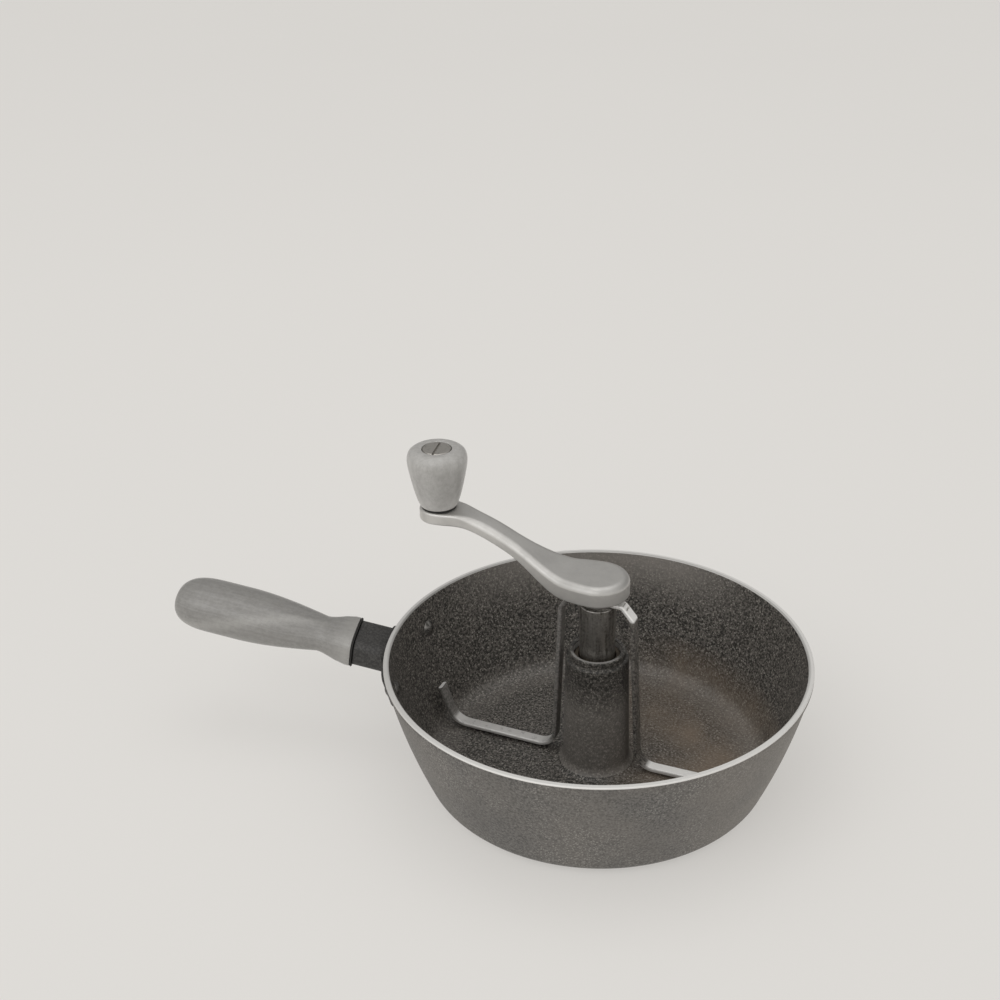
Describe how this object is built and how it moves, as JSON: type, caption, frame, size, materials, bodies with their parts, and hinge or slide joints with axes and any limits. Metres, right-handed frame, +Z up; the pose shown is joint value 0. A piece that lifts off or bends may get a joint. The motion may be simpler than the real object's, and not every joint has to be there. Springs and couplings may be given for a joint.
{
  "type": "stovetop nut roaster",
  "caption": "Round stovetop pan with a side handle, a centre post and a hand crank that turns a bent-strip stirrer just above the floor.",
  "frame": {"origin": "middle of the pan's flat base", "axes": "+Z up along the post and the crank's axis, the handle points along -X, -Y is the side the picture looks at"},
  "size_m": [0.3723, 0.24, 0.1871],
  "materials": {
    "pan_metal": "cast, dark speckled coating inside, grey speckled coating outside, bare machined rim",
    "bracket_enamel": "satin black enamel on cast metal, slightly grained",
    "rivet_aluminium": "set solid rivets with domed heads",
    "grip_wood": "turned and oiled, soft mottled grain",
    "black_fibre": "matt black heat-proof fibre",
    "zinc_steel": "zinc plated",
    "bronze": "sintered, oil filled",
    "stem_steel": "turned, darkened by heat",
    "spring_steel": "blued",
    "stirrer_stainless": "polished strip with eased edges",
    "cast_aluminium": "cast and tumbled to a satin sheen",
    "knob_wood": "turned and oiled, soft mottled grain"
  },
  "bodies": {
    "pan": {"pan_body": "pan_metal", "handle_bracket": "bracket_enamel", "bracket_rivet_front": "rivet_aluminium", "bracket_rivet_rear": "rivet_aluminium", "grip_gasket": "black_fibre", "handle_grip": "grip_wood", "handle_bolt": "zinc_steel", "handle_bolt_washer": "zinc_steel", "thrust_washer": "bronze"},
    "bearing": {"bearing_bush": "bronze"},
    "crank": {"drive_stem": "stem_steel", "retaining_clip": "spring_steel", "stem_screw": "zinc_steel", "stem_lock_washer": "zinc_steel", "drive_dowel": "zinc_steel", "hub_spacer": "stem_steel", "stirrer_strip": "stirrer_stainless", "crank_arm": "cast_aluminium", "knob_seat_washer": "black_fibre", "knob_sleeve": "stem_steel", "knob_wave_washer": "zinc_steel", "knob_screw": "zinc_steel"},
    "knob": {"knob_grip": "knob_wood"}
  },
  "joints": [
    {"name": "lift_out", "type": "slide", "parent": "pan", "child": "bearing", "axis": [0, 0, 1], "range_m": [0, 0.08]},
    {"name": "crank_turn", "type": "hinge", "parent": "bearing", "child": "crank", "pos_m": [0, 0, 0.061], "axis": [0, 0, 1], "continuous": true},
    {"name": "knob_spin", "type": "hinge", "parent": "crank", "child": "knob", "pos_m": [-0.09372, 0.01552, 0.1699], "axis": [0, 0, 1], "continuous": true}
  ]
}
